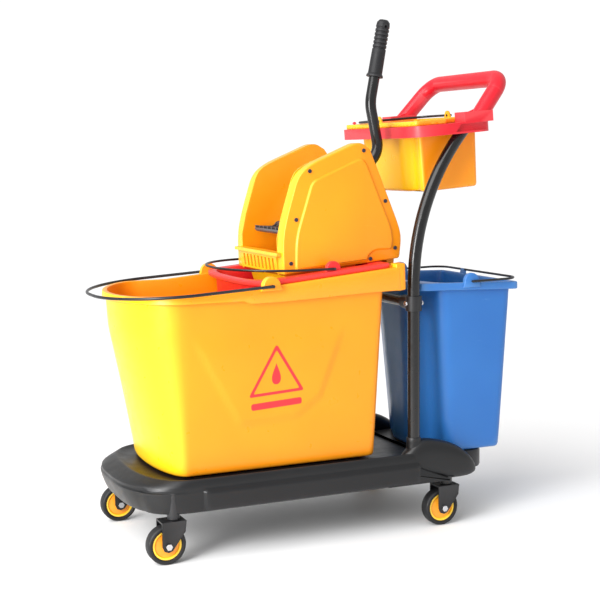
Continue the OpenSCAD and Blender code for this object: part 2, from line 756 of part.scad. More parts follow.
module lever_grip() {
    h = lever_heads[2];
    start = high_end + grip_start * [cos(h), sin(h)];
    profile = concat([[0, 0], [17, 0], [17, 3], [14.5, 7], [14, 52]],
        [for (i = [0:5], q = [[14, 0], [14, 4], [12.6, 5], [12.6, 7]]) [q[0], 52 + i * 8 + q[1]]],
        [[14, 101], [13, 110], [9, 115], [0, 115]]);
    color([0.12, 0.12, 0.13]) difference() {
        translate([start[0], lever_y, start[1]]) rotate([0, 90 - h, 0])
            rotate_extrude($fn = 64) polygon(profile);
        lever_straight(high_end, h, grip_start + 60.1, lever_r + run);
        rod_y(grip_end[0] - 14 * cos(h), grip_end[1] - 14 * sin(h), 3, lever_y - 20, lever_y + 20);
    }
}

module lever_shaft() {
    shaft(lever_shaft_x, lever_shaft_z, gear_y - 10, lever_y + 12);
}

// Torsion spring round the lever shaft, outside the lever gear
module return_spring() {
    y0 = gear_y - 9.4;
    color([0.6, 0.61, 0.63]) {
        translate([lever_shaft_x, y0, lever_shaft_z]) rotate([-90, 0, 0]) rotate_extrude()
            for (i = [0:3]) translate([9.5, i * 2.2]) circle(r = 1.2);
        rod_y(lever_shaft_x + 9.5, lever_shaft_z, 0.8, y0, y0 + 6.6);
    }
}

// ---------------------------------------------------------------- the cart

base_platform();
caster_stems();
fork(front_axle_x, -half_track);  // fork_front_near
fork(front_axle_x, half_track);  // fork_front_far
fork(rear_axle_x, -half_track);  // fork_rear_near
fork(rear_axle_x, half_track);  // fork_rear_far
hub(front_axle_x, -half_track);  // hub_front_near
hub(front_axle_x, half_track);  // hub_front_far
hub(rear_axle_x, -half_track);  // hub_rear_near
hub(rear_axle_x, half_track);  // hub_rear_far
tyre(front_axle_x, -half_track);  // tyre_front_near
tyre(front_axle_x, half_track);  // tyre_front_far
tyre(rear_axle_x, -half_track);  // tyre_rear_near
tyre(rear_axle_x, half_track);  // tyre_rear_far
axle(front_axle_x, -half_track);  // axle_front_near
axle(front_axle_x, half_track);  // axle_front_far
axle(rear_axle_x, -half_track);  // axle_rear_near
axle(rear_axle_x, half_track);  // axle_rear_far
main_bucket();
main_bail();
dirty_bucket();
dirty_bail();
rear_bucket();
rear_bail();
pole(-1);  // pole_near
pole(1);  // pole_far
cross_tube();
tee_collars();
collar_bolts();
tray_frame();
tray_peg();
caddy();
caddy_bail();
wringer_body();
wringer_cover(-1);  // wringer_cover_near
wringer_cover(1);  // wringer_cover_far
cover_screws(-1);  // cover_screws_near
cover_screws(1);  // cover_screws_far
shaft_bushes();
wing(front_shaft_x, -1, 60);  // wing_front
wing(rear_shaft_x, 1, 44.5);  // wing_rear
shaft(front_shaft_x, wing_z, gear_y, 106);  // shaft_front
shaft(rear_shaft_x, wing_z, gear_y, 106);  // shaft_rear
gear(front_shaft_x, wing_z, wing_teeth, wing_pitch_deg / 2);  // gear_front
gear(rear_shaft_x, wing_z, wing_teeth, 0);  // gear_rear
gear(lever_shaft_x, lever_shaft_z, lever_teeth, lever_phase);  // gear_lever
lever_shaft();
lever_tube();
lever_grip();
return_spring();
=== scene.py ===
"""The looks of a mop wringer cart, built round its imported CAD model.

Lengths are millimetres in the row's frame until a mesh is made, and metres after that. The main bucket,
the base, the caddy and the other mouldings that the photograph shows are lofted here from rings of
points. The metal parts keep their CAD shape, some with rounded edges.
"""

import math

import bmesh
import bpy
from mathutils import Matrix, Vector


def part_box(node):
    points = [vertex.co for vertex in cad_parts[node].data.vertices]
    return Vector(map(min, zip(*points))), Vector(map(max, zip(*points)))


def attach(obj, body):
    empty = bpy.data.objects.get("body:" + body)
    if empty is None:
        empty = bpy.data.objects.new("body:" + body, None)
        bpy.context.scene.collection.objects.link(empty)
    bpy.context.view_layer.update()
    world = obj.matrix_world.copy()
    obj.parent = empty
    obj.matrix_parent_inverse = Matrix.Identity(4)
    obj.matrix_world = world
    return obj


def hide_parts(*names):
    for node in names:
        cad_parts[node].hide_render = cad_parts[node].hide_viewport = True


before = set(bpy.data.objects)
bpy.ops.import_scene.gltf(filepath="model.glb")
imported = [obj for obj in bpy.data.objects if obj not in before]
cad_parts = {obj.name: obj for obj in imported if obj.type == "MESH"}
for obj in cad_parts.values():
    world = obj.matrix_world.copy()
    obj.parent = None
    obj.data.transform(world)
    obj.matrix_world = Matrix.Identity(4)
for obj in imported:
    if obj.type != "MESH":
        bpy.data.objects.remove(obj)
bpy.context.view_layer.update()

MM = 0.001
CORNERS = ("front_near", "front_far", "rear_near", "rear_far")


# ------------------------------------------------------------------ small helpers

def srgb(r, g, b):
    """A display colour, 0 to 255, as a linear one."""
    return tuple(((c / 255 + 0.055) / 1.055) ** 2.4 if c > 10 else c / 255 / 12.92 for c in (r, g, b))


def smooth(low, high, value):
    """0 below low, 1 above high, and a smooth step between them."""
    t = min(1, max(0, (value - low) / (high - low)))
    return t * t * (3 - 2 * t)


def between(stops, value):
    """Piecewise linear value from (place, value) stops."""
    if value <= stops[0][0]:
        return stops[0][1]
    for (p0, v0), (p1, v1) in zip(stops, stops[1:]):
        if value <= p1:
            return v0 + (v1 - v0) * (value - p0) / (p1 - p0)
    return stops[-1][1]


def rounded(corners, radius, steps=6):
    """A polygon with its corners rounded. A corner may carry its own radius as a third number."""
    out = []
    for i, corner in enumerate(corners):
        here, before, after = Vector(corner[:2]), Vector(corners[i - 1][:2]), Vector(
            corners[(i + 1) % len(corners)][:2])
        r = corner[2] if len(corner) > 2 else radius
        start = here + (before - here).normalized() * min(r, (before - here).length * 0.49)
        end = here + (after - here).normalized() * min(r, (after - here).length * 0.49)
        for k in range(steps + 1):
            t = k / steps
            out.append((1 - t) ** 2 * start + 2 * t * (1 - t) * here + t * t * end)
    return out


def polar(outline, centre, count=180):
    """The outline as seen from a centre, sampled at equal angles, so that outlines can be lofted."""
    c = Vector(centre)
    ring = []
    for k in range(count):
        a = 2 * math.pi * (k + 0.5) / count
        d = Vector((math.cos(a), math.sin(a)))
        best = 0
        for i, p in enumerate(outline):
            p, q = p - c, outline[(i + 1) % len(outline)] - c
            e = q - p
            cross = d.x * e.y - d.y * e.x
            if abs(cross) < 1e-9:
                continue
            t = (p.x * e.y - p.y * e.x) / cross
            s = (p.x * d.y - p.y * d.x) / cross
            if t > best and -1e-6 <= s <= 1 + 1e-6:
                best = t
        ring.append(c + d * best)
    return ring


def inset(ring, distance):
    """A closed ring moved inwards by a distance."""
    area = sum(a.x * b.y - b.x * a.y for a, b in zip(ring, ring[1:] + ring[:1]))
    turn = 1 if area > 0 else -1
    out = []
    for i, p in enumerate(ring):
        along = ring[(i + 1) % len(ring)] - ring[i - 1]
        normal = Vector((-along.y, along.x)).normalized() * turn
        out.append(p + normal * distance)
    return out


def at_z(ring, z):
    """A flat ring at a height, which may depend on x."""
    return [(p[0], p[1], z(p[0]) if callable(z) else z) for p in ring]


def loft(rings, caps=(True, True)):
    """Quads between closed rings that have the same number of points."""
    n = len(rings[0])
    verts = [tuple(p) for ring in rings for p in ring]
    faces = []
    for k in range(len(rings) - 1):
        for i in range(n):
            j = (i + 1) % n
            faces.append((k * n + i, k * n + j, (k + 1) * n + j, (k + 1) * n + i))
    if caps[0]:
        faces.append(tuple(range(n - 1, -1, -1)))
    if caps[1]:
        faces.append(tuple((len(rings) - 1) * n + i for i in range(n)))
    return verts, faces


def joined(*parts):
    """Several (vertices, faces) as one."""
    verts, faces = [], []
    for part_verts, part_faces in parts:
        start = len(verts)
        verts.extend(part_verts)
        faces.extend(tuple(start + i for i in face) for face in part_faces)
    return verts, faces


def moved(part, matrix):
    verts, faces = part
    return [tuple(matrix @ Vector(v)) for v in verts], faces


def revolved(profile, centre, count=48):
    """A closed (radius, height) profile turned about a vertical axis."""
    rings = []
    for r, z in profile + profile[:1]:
        rings.append([(centre[0] + r * math.cos(2 * math.pi * i / count),
                       centre[1] + r * math.sin(2 * math.pi * i / count), z) for i in range(count)])
    return loft(rings, (False, False))


def plate_y(outline, y_back, y_face, edge):
    """An XZ outline extruded along Y, with the edge of its outer face rounded."""
    out = 1 if y_face > y_back else -1
    rings = [[(p.x, y_back, p.y) for p in outline]]
    for k in range(4):
        a = math.pi / 2 * k / 3
        ring = inset(outline, edge * (1 - math.cos(a)))
        rings.append([(p.x, y_face - out * edge * (1 - math.sin(a)), p.y) for p in ring])
    return loft(rings)


def show(obj, material, body):
    obj.data.materials.clear()
    obj.data.materials.append(material)
    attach(obj, body)


def piece(name, part, material, body, replaces=(), sharp=35):
    """A new mesh piece, with smooth faces and sharp edges where they turn by more than sharp degrees."""
    verts, faces = part
    mesh = bpy.data.meshes.new(name)
    mesh.from_pydata([Vector(v) * MM for v in verts], [], faces)
    bm = bmesh.new()
    bm.from_mesh(mesh)
    bmesh.ops.remove_doubles(bm, verts=bm.verts, dist=2e-6)
    bmesh.ops.dissolve_degenerate(bm, dist=1e-6, edges=bm.edges)
    bmesh.ops.recalc_face_normals(bm, faces=bm.faces)
    bm.to_mesh(mesh)
    bm.free()
    mesh.shade_smooth()
    mesh.set_sharp_from_angle(angle=math.radians(sharp))
    obj = bpy.data.objects.new(name, mesh)
    bpy.context.scene.collection.objects.link(obj)
    show(obj, material, body)
    if replaces:
        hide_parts(*replaces)
    return obj


def softened(node, body, material, width, segments=2, angle=38):
    """The CAD shape of a node with its edges rounded, standing for that node."""
    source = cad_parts[node]
    mesh = source.data.copy()
    bm = bmesh.new()
    bm.from_mesh(mesh)
    bmesh.ops.remove_doubles(bm, verts=bm.verts, dist=2e-6)
    bmesh.ops.dissolve_limit(bm, angle_limit=math.radians(0.6), verts=bm.verts, edges=bm.edges)
    bmesh.ops.recalc_face_normals(bm, faces=bm.faces)
    bm.to_mesh(mesh)
    bm.free()
    mesh.shade_smooth()
    mesh.set_sharp_from_angle(angle=math.radians(30))
    obj = bpy.data.objects.new(node + "_soft", mesh)
    bpy.context.scene.collection.objects.link(obj)
    show(obj, material, body)
    bevel = obj.modifiers.new("edges", "BEVEL")
    bevel.width = width * MM
    bevel.segments = segments
    bevel.limit_method = "ANGLE"
    bevel.angle_limit = math.radians(angle)
    bevel.harden_normals = True
    bevel.use_clamp_overlap = True
    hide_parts(node)
    return obj


# ------------------------------------------------------------------ materials

class Look:
    """A material's node tree, with short calls to add nodes and join them."""

    def __init__(self, name):
        self.material = bpy.data.materials.new(name)
        self.material.use_nodes = True
        self.tree = self.material.node_tree
        self.tree.nodes.clear()
        output = self.tree.nodes.new("ShaderNodeOutputMaterial")
        self.shader = self.tree.nodes.new("ShaderNodeBsdfPrincipled")
        self.join(self.shader.outputs["BSDF"], output.inputs["Surface"])
        self.place = self.add("ShaderNodeTexCoord").outputs["Object"]

    def add(self, kind, **settings):
        made = self.tree.nodes.new(kind)
        for key, value in settings.items():
            setattr(made, key, value)
        return made

    def join(self, output, socket):
        self.tree.links.new(output, socket)

    def noise(self, scale, detail=3, stretch=None, roughness=0.55):
        made = self.add("ShaderNodeTexNoise")
        made.inputs["Scale"].default_value = scale
        made.inputs["Detail"].default_value = detail
        made.inputs["Roughness"].default_value = roughness
        if stretch:
            mapping = self.add("ShaderNodeMapping")
            mapping.inputs["Scale"].default_value = stretch
            self.join(self.place, mapping.inputs["Vector"])
            self.join(mapping.outputs["Vector"], made.inputs["Vector"])
        else:
            self.join(self.place, made.inputs["Vector"])
        return made.outputs["Fac"]

    def spread(self, value, low, high, to_low=0.0, to_high=1.0):
        made = self.add("ShaderNodeMapRange")
        made.clamp = True
        for name, number in (("From Min", low), ("From Max", high), ("To Min", to_low), ("To Max", to_high)):
            made.inputs[name].default_value = number
        self.join(value, made.inputs["Value"])
        return made.outputs["Result"]

    def mix(self, factor, first, second):
        made = self.add("ShaderNodeMix", data_type="RGBA")
        for value, socket in ((factor, made.inputs[0]), (first, made.inputs[6]), (second, made.inputs[7])):
            if isinstance(value, (tuple, float, int)):
                socket.default_value = (*value, 1) if isinstance(value, tuple) else value
            else:
                self.join(value, socket)
        return made.outputs[2]

    def maths(self, operation, first, second):
        made = self.add("ShaderNodeMath", operation=operation)
        for value, socket in zip((first, second), made.inputs):
            if isinstance(value, (float, int)):
                socket.default_value = value
            else:
                self.join(value, socket)
        return made.outputs[0]

    def bump(self, height, strength, distance):
        made = self.add("ShaderNodeBump")
        made.inputs["Strength"].default_value = strength
        made.inputs["Distance"].default_value = distance
        self.join(height, made.inputs["Height"])
        self.join(made.outputs["Normal"], self.shader.inputs["Normal"])

    def worn_edges(self, low=0.515, high=0.56):
        return self.spread(self.add("ShaderNodeNewGeometry").outputs["Pointiness"], low, high)


def moulded(name, colour, deep, pale, rough=0.34, glow=0.0, grain=0.12, grain_scale=1100, front=None):
    """Moulded plastic: faint flow patches, fine grain, a few scuffs, and edges that are worn pale.

    front is a painted highlight: the colour it takes where it faces the front of the cart, standing in for
    the key light that falls there.
    """
    look = Look(name)
    flow = look.spread(look.noise(4.5, 2), 0.35, 0.68)
    body = look.mix(flow, colour, deep)
    # Painted light: where the normal faces the front of the cart the colour turns to front, a painted
    # highlight for the key light.
    if front:
        painted_light_normal = look.add("ShaderNodeSeparateXYZ")
        look.join(look.add("ShaderNodeTexCoord").outputs["Normal"], painted_light_normal.inputs[0])
        body = look.mix(look.spread(painted_light_normal.outputs["X"], -0.2, -0.9), body, front)
    scuffs = look.spread(look.noise(26, 6, (0.35, 1, 3.2), 0.72), 0.66, 0.74, 0, 0.32)
    body = look.mix(scuffs, body, pale)
    body = look.mix(look.maths("MULTIPLY", look.worn_edges(), 0.35), body, pale)
    look.join(body, look.shader.inputs["Base Color"])
    patchy = look.spread(look.noise(38, 4), 0.3, 0.75, rough - 0.05, rough + 0.09)
    scuffed = look.maths("MULTIPLY", scuffs, 0.5)
    look.join(look.maths("ADD", patchy, scuffed), look.shader.inputs["Roughness"])
    fine = look.maths("ADD", look.noise(grain_scale, 2), look.maths("MULTIPLY", look.noise(95, 3), 0.6))
    look.bump(fine, grain, 0.0006)
    look.shader.inputs["IOR"].default_value = 1.46
    if glow:
        look.shader.inputs["Subsurface Weight"].default_value = glow
        look.shader.inputs["Subsurface Radius"].default_value = (0.02, 0.009, 0.002)
        look.shader.inputs["Subsurface Scale"].default_value = 0.35
    return look


def coated(name, colour, pale, rough=0.3, metal=0.0, scale=420):
    """Coated steel: orange-peel bump, dust on the surface and bare edges where it has rubbed."""
    look = Look(name)
    dust = look.spread(look.noise(14, 5, None, 0.65), 0.5, 0.78, 0, 0.3)
    body = look.mix(dust, colour, pale)
    body = look.mix(look.maths("MULTIPLY", look.worn_edges(0.53, 0.6), 0.4), body, pale)
    look.join(body, look.shader.inputs["Base Color"])
    look.join(look.spread(look.noise(60, 4), 0.3, 0.75, rough - 0.06, rough + 0.12),
              look.shader.inputs["Roughness"])
    look.bump(look.noise(scale, 2), 0.1, 0.0005)
    look.shader.inputs["Metallic"].default_value = metal
    return look


def make_materials():
    """One look per finish. The yellow is deep on the sides, and lemon where it faces the front, which is a
    painted highlight standing in for the key light.
    """
    looks = {}
    yellow, deep, pale = srgb(250, 152, 12), srgb(248, 145, 10), srgb(252, 184, 60)
    for key in ("yellow_bucket", "yellow_caddy", "yellow_wringer"):
        # The lemon front colour is a painted highlight where the yellow faces the key light.
        looks[key] = moulded(key, yellow, deep, pale, 0.32, glow=0.1, front=srgb(246, 196, 18))
    looks["red_frame"] = moulded("red_frame", srgb(214, 22, 40), srgb(202, 16, 36), srgb(236, 96, 100), 0.36)
    looks["red_bucket"] = moulded("red_bucket", srgb(226, 30, 36), srgb(220, 24, 30), srgb(240, 100, 86),
                                  0.34, glow=0.2)
    looks["print_red"] = moulded("print_red", srgb(214, 22, 40), srgb(204, 16, 36), srgb(226, 70, 70), 0.42)
    looks["blue_bucket"] = moulded("blue_bucket", srgb(44, 112, 186), srgb(38, 104, 178), srgb(110, 160, 214),
                                   0.34, glow=0.08)
    looks["base_plastic"] = moulded("base_plastic", srgb(17, 18, 20), srgb(13, 14, 16),
                                    srgb(52, 52, 54), 0.36, grain=0.3, grain_scale=700)
    looks["black_plastic"] = moulded("black_plastic", srgb(18, 18, 20), srgb(14, 14, 16),
                                     srgb(58, 58, 60), 0.4, grain=0.25)
    looks["dark_plastic"] = moulded("dark_plastic", srgb(62, 64, 68), srgb(50, 52, 56), srgb(120, 120, 124),
                                    0.4, grain=0.25)
    looks["grip_rubber"] = moulded("grip_rubber", srgb(20, 20, 23), srgb(16, 16, 18), srgb(56, 56, 58), 0.5,
                                   grain=0.4, grain_scale=500)
    looks["tyre_rubber"] = moulded("tyre_rubber", srgb(24, 24, 26), srgb(19, 19, 21), srgb(70, 68, 66), 0.55,
                                   grain=0.4, grain_scale=600)
    looks["black_steel"] = coated("black_steel", srgb(15, 15, 17), srgb(54, 54, 56), 0.34)
    looks["pole_steel"] = coated("pole_steel", srgb(10, 10, 11), srgb(40, 39, 38), 0.2)
    looks["lever_steel"] = coated("lever_steel", srgb(10, 10, 11), srgb(40, 40, 42), 0.2)
    looks["wire"] = coated("wire", srgb(16, 16, 20), srgb(56, 56, 60), 0.3)
    looks["screw_black"] = coated("screw_black", srgb(44, 44, 60), srgb(120, 120, 130), 0.35, 0.6)
    looks["bolt_zinc"] = coated("bolt_zinc", srgb(214, 215, 218), srgb(160, 160, 158), 0.24, 1.0)
    looks["gear_steel"] = coated("gear_steel", srgb(150, 151, 154), srgb(110, 106, 100), 0.34, 1.0)
    return {key: look.material for key, look in looks.items()}


def hub_material(corner, centre):
    """The hub's moulding, with a brighter ring near its edge, measured from the axle."""
    look = Look("wheel_hub_" + corner)
    shift = look.add("ShaderNodeMapping")
    shift.inputs["Location"].default_value = (-centre.x, 0, -centre.z)
    shift.inputs["Scale"].default_value = (1, 0, 1)
    look.join(look.place, shift.inputs["Vector"])
    distance = look.add("ShaderNodeVectorMath", operation="LENGTH")
    look.join(shift.outputs["Vector"], distance.inputs[0])
    ring = look.spread(distance.outputs["Value"], 0.0232, 0.0246)
    body = look.mix(look.spread(look.noise(30, 3), 0.35, 0.7), srgb(244, 148, 30), srgb(250, 172, 42))
    body = look.mix(ring, body, srgb(255, 206, 30))
    body = look.mix(look.maths("MULTIPLY", look.worn_edges(), 0.3), body, srgb(255, 226, 140))
    look.join(body, look.shader.inputs["Base Color"])
    look.join(look.spread(look.noise(70, 3), 0.3, 0.7, 0.26, 0.4), look.shader.inputs["Roughness"])
    look.bump(look.noise(900, 2), 0.12, 0.0005)
    return look.material


MATERIALS = make_materials()


# ------------------------------------------------------------------ outline of base and main bucket

def cart_ring(middle_x, reach, half_width, power, rear_x, corner, sides=56, nose=44, rears=8, arcs=5):
    """A rounded nose in front of middle_x, straight sides and a square rear end with small corners.

    reach is the nose's length, and power how square it is, 2 for an ellipse.
    """
    side_x = [middle_x + (rear_x - corner - middle_x) * k / sides for k in range(sides + 1)]
    ring = [Vector((x, half_width)) for x in reversed(side_x)]
    for k in range(1, nose):
        t = math.pi / 2 + math.pi * k / nose
        c, s = math.cos(t), math.sin(t)
        ring.append(Vector((middle_x - reach * abs(c) ** (2 / power),
                            math.copysign(half_width * abs(s) ** (2 / power), s))))
    ring += [Vector((x, -half_width)) for x in side_x]
    corner_x, corner_y = rear_x - corner, half_width - corner
    for k in range(1, arcs + 1):
        a = -math.pi / 2 + math.pi / 2 * k / arcs
        ring.append(Vector((corner_x + corner * math.cos(a), -corner_y + corner * math.sin(a))))
    for k in range(1, rears):
        ring.append(Vector((rear_x, corner_y * (2 * k / rears - 1))))
    for k in range(arcs):
        a = math.pi / 2 * k / arcs
        ring.append(Vector((corner_x + corner * math.cos(a), corner_y + corner * math.sin(a))))
    return ring


# ------------------------------------------------------------------ base

BASE_NOSE_X = -275
BASE_REAR_X = 205
BASE_LOW = 95
PANEL_FRONT = -271, -264
PANEL_TOP = 130, 141
PANEL_PROUD = 7
BUMPER_TOP = 138, 144
BUMPER_END = 132, 142
BUMPER_DEPTH = 4.5


def base_level(z, reach, half_width, power):
    """One ring of the base, with its proud side panels and the sunk panel round its bumper."""
    ring = []
    for p in cart_ring(BASE_NOSE_X, reach, half_width, power, BASE_REAR_X, 12, sides=100):
        if abs(p.y) > half_width - 0.1:
            side = smooth(*PANEL_FRONT, p.x) * (1 - smooth(*PANEL_TOP, z)) * smooth(BASE_LOW, BASE_LOW + 2, z)
            p = Vector((p.x, p.y + math.copysign(PANEL_PROUD * side, p.y)))
        elif p.x < BASE_NOSE_X:
            depth = BUMPER_DEPTH * (1 - smooth(*BUMPER_TOP, z)) * (1 - smooth(*BUMPER_END, abs(p.y)))
            p = p + (Vector((BASE_NOSE_X, 0)) - p).normalized() * depth
        ring.append(p)
    return at_z(ring, z)


def base_shell():
    """The deck and its skirt. Each level is (height, nose reach, half width, squareness)."""
    levels = [(101, 108, 168, 2.9), (95.4, 112, 172, 2.9), (95, 116, 175, 2.9), (96, 119, 175.6, 2.9),
              (99, 121, 175.8, 2.9), (106, 124.5, 176, 2.9), (114, 128, 176.2, 2.85),
              (122, 131, 176.4, 2.85), (128, 133, 176.6, 2.75), (130, 133.6, 176.7, 2.75),
              (132, 134, 176.8, 2.75), (134, 134.2, 176.8, 2.75), (136, 134, 176.8, 2.55),
              (138, 133.4, 176.8, 2.55), (139, 133, 176.8, 2.55), (140, 132.4, 176.8, 2.55),
              (141, 131.6, 176.8, 2.52), (143, 129.6, 176.8, 2.52), (145, 127, 176.6, 2.52),
              (149, 119, 176, 2.5), (153, 109, 175, 2.48), (156, 102, 174, 2.45), (157.4, 99, 173, 2.45),
              (158, 96.6, 171.6, 2.45), (157.6, 94.6, 170, 2.45), (155.6, 90, 167, 2.45),
              (153.4, 80, 161.5, 2.45), (152.6, 70, 157, 2.45), (152.4, 62, 153.5, 2.45)]
    return loft([base_level(*level) for level in levels])


def fender(side):
    """Rounded cover over a rear caster: sections of (x, top, half width, low edge) towards the rear."""
    stations = [(160, 149, 6, 100), (167, 156, 13, 96), (176, 164, 17.5, 95), (188, 175, 20, 95),
                (200, 182.6, 21, 95), (212, 183.8, 21.3, 95), (228, 182.2, 21.5, 95), (246, 178.6, 21.5, 95),
                (262, 174.4, 21.5, 95), (278, 168.6, 21.4, 95), (292, 161.6, 21, 95),
                (304, 153.4, 20.2, 95.4), (315, 144, 18.8, 96.4), (324, 134, 16.4, 98.4),
                (331, 123.4, 12.6, 101.6), (335, 114.5, 7.5, 105.4), (336.4, 110, 2, 108)]
    middle_y = side * 157
    power = 2 / 2.7
    rings = []
    for x, top, half, low in stations:
        ring = []
        for k in range(40):
            a = 2 * math.pi * k / 40
            c, s = math.cos(a), math.sin(a)
            y = middle_y + half * math.copysign(abs(c) ** power, c)
            z = (top + low) / 2 + (top - low) / 2 * math.copysign(abs(s) ** power, s)
            ring.append((x, y, z))
        rings.append(ring)
    return loft(rings)


def slab(outline, z_low, z_high, edge):
    """A flat plate with rounded upper and lower edges."""
    rings = [at_z(inset(outline, edge), z_low), at_z(inset(outline, edge * 0.3), z_low + edge * 0.3),
             at_z(outline, z_low + edge), at_z(outline, z_high - edge),
             at_z(inset(outline, edge * 0.3), z_high - edge * 0.3), at_z(inset(outline, edge), z_high)]
    return loft(rings)


def build_base():
    """The base: shell, rear tongue, fenders, side walls behind the panels and the two pole sockets."""
    socket = [(18.5, 150), (16.6, 158), (15.4, 168), (15, 180), (15, 187), (14.4, 188), (12.7, 188),
              (12.7, 150)]
    tongue = rounded([(176, -134), (385, -134), (385, 134), (176, 134)], 55, 10)
    parts = [base_shell(), slab(tongue, 100, 140, 5)]
    tail = rounded([(120, 95.4), (266, 95.4), (258, 102), (190, 130), (120, 130)], 3, 4)
    for side in (-1, 1):
        parts += [fender(side), revolved(socket, (193, side * 155)),
                  plate_y(tail, side * 150, side * 182.6, 2)]
    piece("base", joined(*parts), MATERIALS["base_plastic"], "frame", ["base_platform"])


# ------------------------------------------------------------------ main bucket

CREASE_X = -286
BUCKET_FLOOR = 156.3
REACH = [(156, 44), (165, 47), (300, 74), (418, 99.4), (430, 101.4), (446, 102.6), (505, 106)]
HALF_WIDTH = [(156, 146), (505, 163.5)]
REAR = [(156, 110), (505, 124)]
WALL_TOP = 438
SKIRT_MEAN = 489
RELIEF = 3.2
RELIEF_CORNERS = [(-268, 400), (-192, 262), (-183, 251), (-66, 256), (-16, 292), (24, 400)]


def rim_top(x):
    """Height of the main bucket's rim: level over the nose, then rising to the rear."""
    return 505 - 5 * smooth(-310, -420, x) + max(0, x + 225) * math.tan(math.radians(5.2))


def skirt_low(x):
    """Lower edge of the rim's outer band, with its step in front of the ears."""
    return SKIRT_MEAN - 5.5 * smooth(-180, -166, x) + 9 * smooth(-150, 158, x)


def relief(x, z):
    """How far the broad raised field on the side stands out."""
    depth = 1e9
    for (x0, z0), (x1, z1) in zip(RELIEF_CORNERS, RELIEF_CORNERS[1:]):
        length = math.hypot(x1 - x0, z1 - z0)
        depth = min(depth, ((x1 - x0) * (z - z0) - (z1 - z0) * (x - x0)) / length)
    return RELIEF * smooth(-6, 6, depth) * (1 - smooth(378, 440, z))


def bucket_ring(z, shrink=0.0, raised=True):
    """One ring of the bucket's wall, moved inwards by shrink, with or without the raised side fields."""
    ring = cart_ring(CREASE_X, between(REACH, z) - shrink, between(HALF_WIDTH, z) - shrink, 2.1,
                     between(REAR, z) - shrink, 14 - min(shrink, 4), sides=62)
    if raised:
        edge = between(HALF_WIDTH, z) - shrink
        ring = [Vector((p.x, p.y + math.copysign(relief(p.x, z), p.y))) if abs(p.y) > edge - 0.01 else p
                for p in ring]
    return ring


def ear(middle_x, middle_z, radius, foot_z, y_back, y_face, edge=2.2):
    """A bail ear: a half disc on straight sides."""
    outline = [Vector((middle_x + radius * math.cos(a), middle_z + radius * math.sin(a)))
               for a in [math.pi * k / 24 for k in range(25)]]
    outline += [Vector((middle_x - radius - 3, foot_z)), Vector((middle_x + radius + 3, foot_z))]
    return plate_y(outline, y_back, y_face, edge)


def build_main_bucket():
    """The yellow bucket, lofted from its floor up the outside, over the rim and down the inside."""
    rings = [at_z(bucket_ring(156, 6, False), BUCKET_FLOOR), at_z(bucket_ring(156, 2.4, False), 157.6),
             at_z(bucket_ring(160, 0.7, False), 160.6)]
    rings += [at_z(bucket_ring(z), z) for z in range(166, 441, 8)]
    for share in (0.25, 0.5, 0.75, 1.0):
        level = WALL_TOP + (SKIRT_MEAN - WALL_TOP) * share
        rings.append(at_z(bucket_ring(level), lambda x, s=share: WALL_TOP + (skirt_low(x) - WALL_TOP) * s))
    rim = cart_ring(CREASE_X, 113, 172, 2.05, 158, 7, sides=62)
    for shrink, offset in ((1.2, 0), (0, 1.2)):
        rings.append(at_z(inset(rim, shrink), lambda x, o=offset: skirt_low(x) + o))
    for shrink, drop in ((0.6, 10), (0.8, 2), (1.4, 0.7), (2.8, 0)):
        rings.append(at_z(inset(rim, shrink), lambda x, d=drop: rim_top(x) - d))
    inner = cart_ring(CREASE_X, 102, 160.5, 2.05, 121.5, 12, sides=62)
    rings.append(at_z(inset(inner, -1.6), rim_top))
    rings.append(at_z(inset(inner, -0.4), lambda x: rim_top(x) - 0.6))
    rings.append(at_z(inner, lambda x: rim_top(x) - 2.4))
    rings.append(at_z(bucket_ring(480, 3), lambda x: 480))
    rings += [at_z(bucket_ring(z, 3, False), z) for z in range(440, 170, -30)]
    rings.append(at_z(bucket_ring(163, 7, False), 161))
    rings.append(at_z(bucket_ring(160, 14, False), 159.4))
    ears = [ear(-126, 516, 18, 507, side * 167, side * 180.4) for side in (-1, 1)]
    block = rounded([(144, 545.5), (165.5, 547), (167, 493), (149, 491)], 4, 4)
    blocks = [plate_y(block, side * 148, side * 171, 3) for side in (-1, 1)]
    piece("main_bucket_shell", joined(loft(rings), *ears, *blocks), MATERIALS["yellow_bucket"], "main_bucket",
          ["main_bucket"], sharp=50)


def side_y(z):
    """The near outer face of the raised field."""
    return -(between(HALF_WIDTH, z) + RELIEF)


def flat_print(outer, inner=None):
    """A thin film on the near side of the main bucket, from XZ outlines; inner makes it a frame."""
    film = 0.35

    def raised(ring, height):
        return [(p.x, side_y(p.y) - height, p.y) for p in ring]

    if inner:
        rings = [raised(inner, 0.02), raised(inner, film), raised(outer, film), raised(outer, 0.02)]
        return loft(rings + rings[:1], (False, False))
    return loft([raised(outer, 0.02), raised(outer, film)])


def build_print():
    """A plain red mark: a triangle outline round a drop, with a bar below it."""
    corners = [Vector((-111, 402)), Vector((-168.5, 300.5)), Vector((-52, 307))]
    bar_middle = Vector((-110, 284))
    middle = sum(corners, Vector((0, 0))) / 3

    def triangle(share, radius):
        return rounded([middle + (c - middle) * share for c in corners], radius, 8)

    drop = []
    for k in range(48):
        t = 2 * math.pi * k / 48
        drop.append(Vector((-111 + 13.5 * math.sin(t) * math.sin(t / 2) ** 1.6, 344 + 21 * math.cos(t))))
    tilt = math.atan2(6.5, 116.5)
    bar = []
    for p in rounded([(-53, -6.5), (53, -6.5), (53, 6.5), (-53, 6.5)], 5, 6):
        bar.append(Vector((bar_middle.x + p.x * math.cos(tilt) - p.y * math.sin(tilt),
                           bar_middle.y + p.x * math.sin(tilt) + p.y * math.cos(tilt))))
    part = joined(flat_print(triangle(1, 7), triangle(0.83, 4)), flat_print(drop), flat_print(bar))
    piece("side_mark", part, MATERIALS["print_red"], "main_bucket", sharp=30)


# ------------------------------------------------------------------ inner bucket

